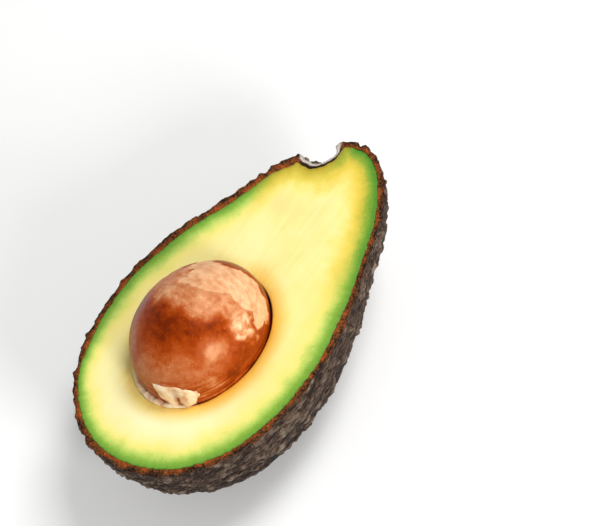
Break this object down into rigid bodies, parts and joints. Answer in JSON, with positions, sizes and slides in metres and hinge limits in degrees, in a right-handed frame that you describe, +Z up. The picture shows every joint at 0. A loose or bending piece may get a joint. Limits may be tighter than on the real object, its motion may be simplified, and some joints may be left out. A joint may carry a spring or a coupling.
{
  "type": "halved avocado",
  "caption": "Half of a ripe avocado cut lengthwise, with its stone left in the flesh, lying on its rounded pebbled back.",
  "frame": {"origin": "centre of the bounding box's bottom: under the middle of the fruit, on the surface it rests on", "axes": "+Z up, out of the cut face; +Y along the fruit to the stem end; +X across it, away from the stem hollow"},
  "size_m": [0.0652, 0.105, 0.0521],
  "materials": {
    "skin": "pebbled, satin",
    "flesh": "moist, satin",
    "seed_coat": "papery",
    "stone": "smooth, glossy"
  },
  "bodies": {
    "root": {"skin": "skin", "flesh": "flesh", "seed_coat": "seed_coat", "stone": "stone"}
  },
  "joints": []
}
